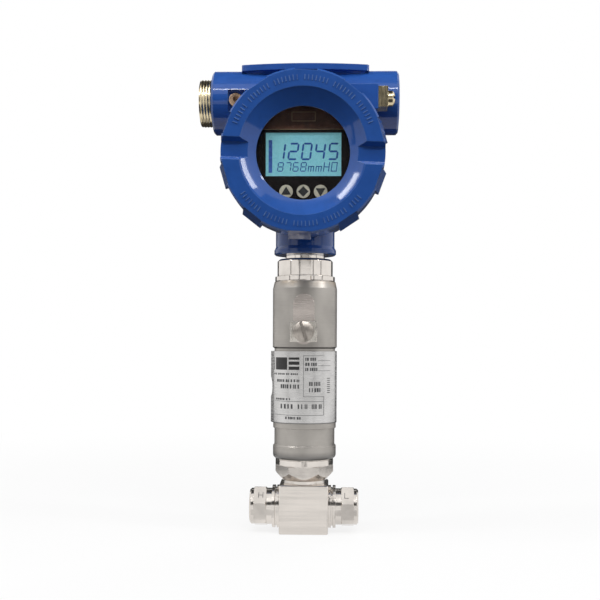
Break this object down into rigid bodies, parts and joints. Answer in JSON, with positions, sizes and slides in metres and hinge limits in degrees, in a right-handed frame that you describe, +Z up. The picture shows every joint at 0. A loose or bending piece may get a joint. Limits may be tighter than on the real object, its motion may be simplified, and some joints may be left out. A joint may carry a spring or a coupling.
{
  "type": "differential pressure transmitter",
  "caption": "Slim steel differential pressure transmitter with two side ports, and a cast housing with a windowed screw cover, lit display and conduit entries.",
  "frame": {"origin": "bottom centre of the process block, on the body's axis", "axes": "+Z up along the body, -Y towards the display, +X towards the low pressure port"},
  "size_m": [0.1039, 0.0681, 0.2429],
  "materials": {
    "blue_paint": "gloss",
    "polished_steel": "polished",
    "satin_steel": "satin",
    "label_steel": "satin",
    "brass_nickel": "plated",
    "nickel_screw": "bright",
    "bronze_screw": "satin",
    "seal_rubber": "matt",
    "clear_glass": "clear",
    "faceplate_plastic": "gloss",
    "lcd_screen": "lit",
    "circuit_board": "matt",
    "potting": "matt",
    "key_plastic": "satin",
    "pale_plastic": "matt",
    "gold_pin": "bright",
    "wire_sleeve": "satin"
  },
  "bodies": {
    "transmitter": {"process_block": "polished_steel", "high_port_adapter": "polished_steel", "low_port_adapter": "polished_steel", "high_port_seal": "pale_plastic", "low_port_seal": "pale_plastic", "sensor_capsule": "satin_steel", "high_diaphragm": "polished_steel", "low_diaphragm": "polished_steel", "sensor_base": "polished_steel", "header": "satin_steel", "header_pins": "gold_pin", "lower_split_ring": "polished_steel", "body_tube": "satin_steel", "label_plate": "label_steel", "upper_sleeve": "satin_steel", "ground_pad": "satin_steel", "ground_clamp": "nickel_screw", "ground_screw": "nickel_screw", "upper_split_ring": "polished_steel", "body_cap": "polished_steel", "neck_nipple": "polished_steel", "board_carriers": "pale_plastic", "sensor_board": "circuit_board", "lead_wires": "wire_sleeve", "housing": "blue_paint", "conduit_adapter": "brass_nickel", "cover_lock_screw": "bronze_screw", "housing_ground_clamp": "brass_nickel", "housing_ground_screw": "brass_nickel", "display_faceplate": "faceplate_plastic", "lcd_panel": "lcd_screen", "display_board": "circuit_board", "display_standoffs": "nickel_screw", "key_switches": "potting", "electronics_module": "potting", "module_screws": "nickel_screw", "terminal_block": "potting", "terminal_screws": "nickel_screw"},
    "front_cover": {"front_cover": "blue_paint", "window_glass": "clear_glass", "window_gasket": "seal_rubber", "window_retainer": "satin_steel"},
    "front_seal": {"front_cover_seal": "seal_rubber"},
    "span_key": {"span_key": "key_plastic"},
    "mode_key": {"mode_key": "key_plastic"},
    "zero_key": {"zero_key": "key_plastic"}
  },
  "joints": [
    {"name": "front_cover_travel", "type": "slide", "parent": "transmitter", "child": "front_seal", "axis": [0, -1, 0], "range_m": [0, 0.012]},
    {"name": "front_cover_turn", "type": "hinge", "parent": "front_seal", "child": "front_cover", "pos_m": [0, -0.0331, 0.1915], "axis": [0, -1, 0], "range_deg": [0, 2160]},
    {"name": "span_key_press", "type": "slide", "parent": "transmitter", "child": "span_key", "axis": [0, 1, 0], "range_m": [0, 0.0005], "stiffness_N_per_m": 2000},
    {"name": "mode_key_press", "type": "slide", "parent": "transmitter", "child": "mode_key", "axis": [0, 1, 0], "range_m": [0, 0.0005], "stiffness_N_per_m": 2000},
    {"name": "zero_key_press", "type": "slide", "parent": "transmitter", "child": "zero_key", "axis": [0, 1, 0], "range_m": [0, 0.0005], "stiffness_N_per_m": 2000}
  ],
  "couplings": [
    {"joint": "front_cover_travel", "follows": "front_cover_turn", "m_per_rad": 0.00031831}
  ]
}
